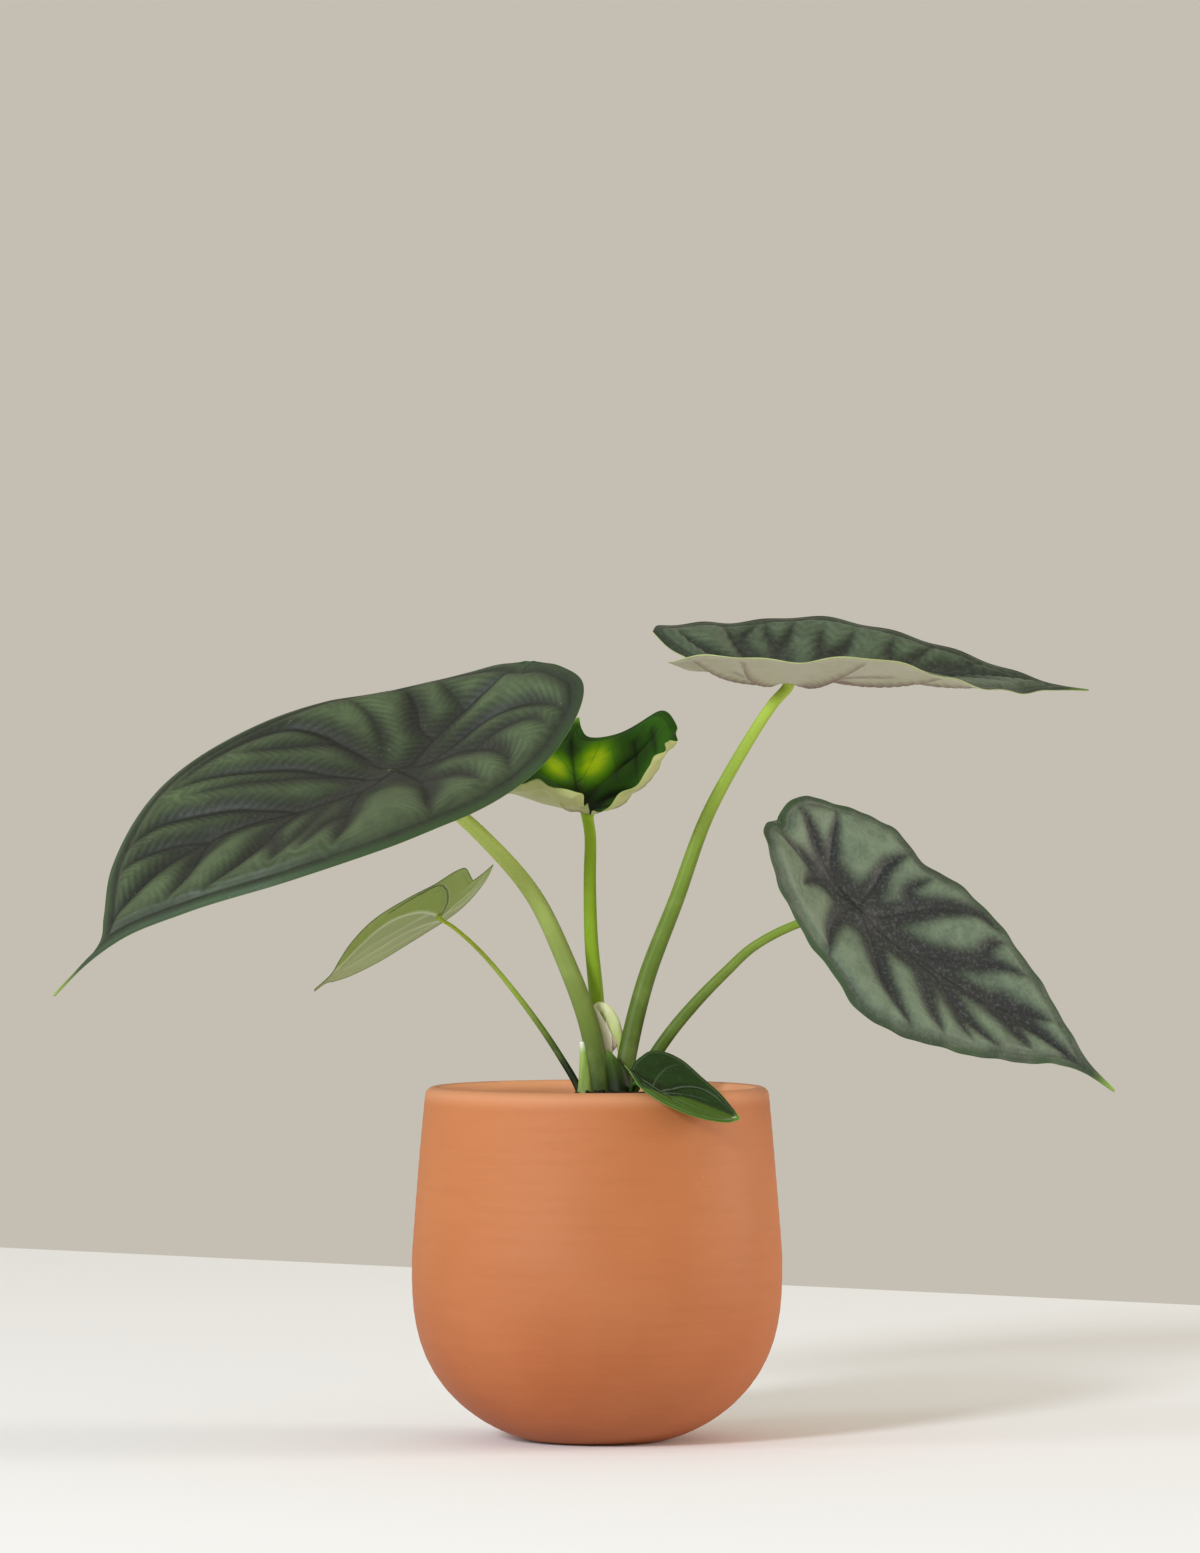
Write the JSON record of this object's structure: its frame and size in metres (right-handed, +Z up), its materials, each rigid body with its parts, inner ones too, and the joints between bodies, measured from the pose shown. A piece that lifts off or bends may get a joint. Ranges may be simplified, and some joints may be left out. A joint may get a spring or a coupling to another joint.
{
  "type": "potted alocasia",
  "caption": "Living alocasia with dark, silvery, quilted arrow-shaped leaves on tall arching stalks, rooted in soil in a rounded terracotta pot.",
  "frame": {"origin": "the middle of the pot's foot, on the surface it stands on", "axes": "+Z up, +X to the viewer's right as the plant faces them, +Y away from the viewer"},
  "size_m": [0.3985, 0.1664, 0.3124],
  "materials": {
    "terracotta": "matte",
    "soil": "matte",
    "corm_skin": "matte",
    "root_skin": "matte",
    "stalk_green": "satin",
    "blade_green": "satin",
    "scale_green": "satin",
    "scale_pale": "satin"
  },
  "bodies": {
    "root": {"pot": "terracotta", "potting_mix": "soil", "corm": "corm_skin", "root_1": "root_skin", "root_2": "root_skin", "root_3": "root_skin", "root_4": "root_skin", "root_5": "root_skin", "petiole_large_left": "stalk_green", "petiole_back": "stalk_green", "petiole_high_right": "stalk_green", "petiole_low_right": "stalk_green", "petiole_small_left": "stalk_green", "petiole_small_front": "stalk_green", "blade_large_left": "blade_green", "blade_back": "blade_green", "blade_high_right": "blade_green", "blade_low_right": "blade_green", "blade_small_left": "blade_green", "blade_small_front": "blade_green", "bract_left": "scale_green", "sheath_front": "scale_green", "sheath_pale": "scale_pale"}
  },
  "joints": []
}
